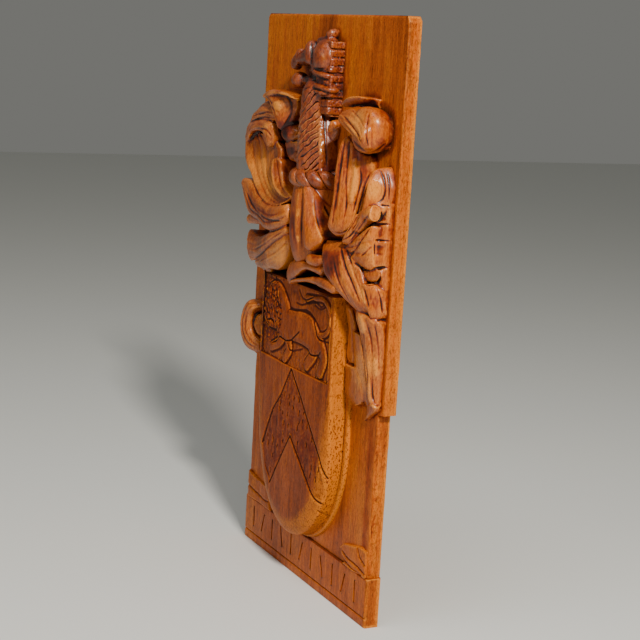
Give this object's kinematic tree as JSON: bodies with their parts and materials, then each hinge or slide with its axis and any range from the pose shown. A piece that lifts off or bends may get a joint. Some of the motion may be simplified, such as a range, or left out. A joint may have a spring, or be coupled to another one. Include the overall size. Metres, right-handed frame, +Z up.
{
  "type": "carved coat of arms",
  "caption": "Upright hardwood plaque carved in relief with a shield, helmet, wreath, beast's head crest, leafy mantling and a banner; a flat back for fixing it to a wall.",
  "frame": {"origin": "middle of the flat back, where the plaque meets the wall", "axes": "+Y into the wall, out of the flat back; +Z up the plaque; the carved front faces -Y"},
  "size_m": [0.348, 0.0586, 0.66],
  "materials": {
    "wood": "warm brown varnished hardwood, semi-gloss, darker in the cuts"
  },
  "bodies": {
    "root": {"carved_panel": "wood"}
  },
  "joints": []
}
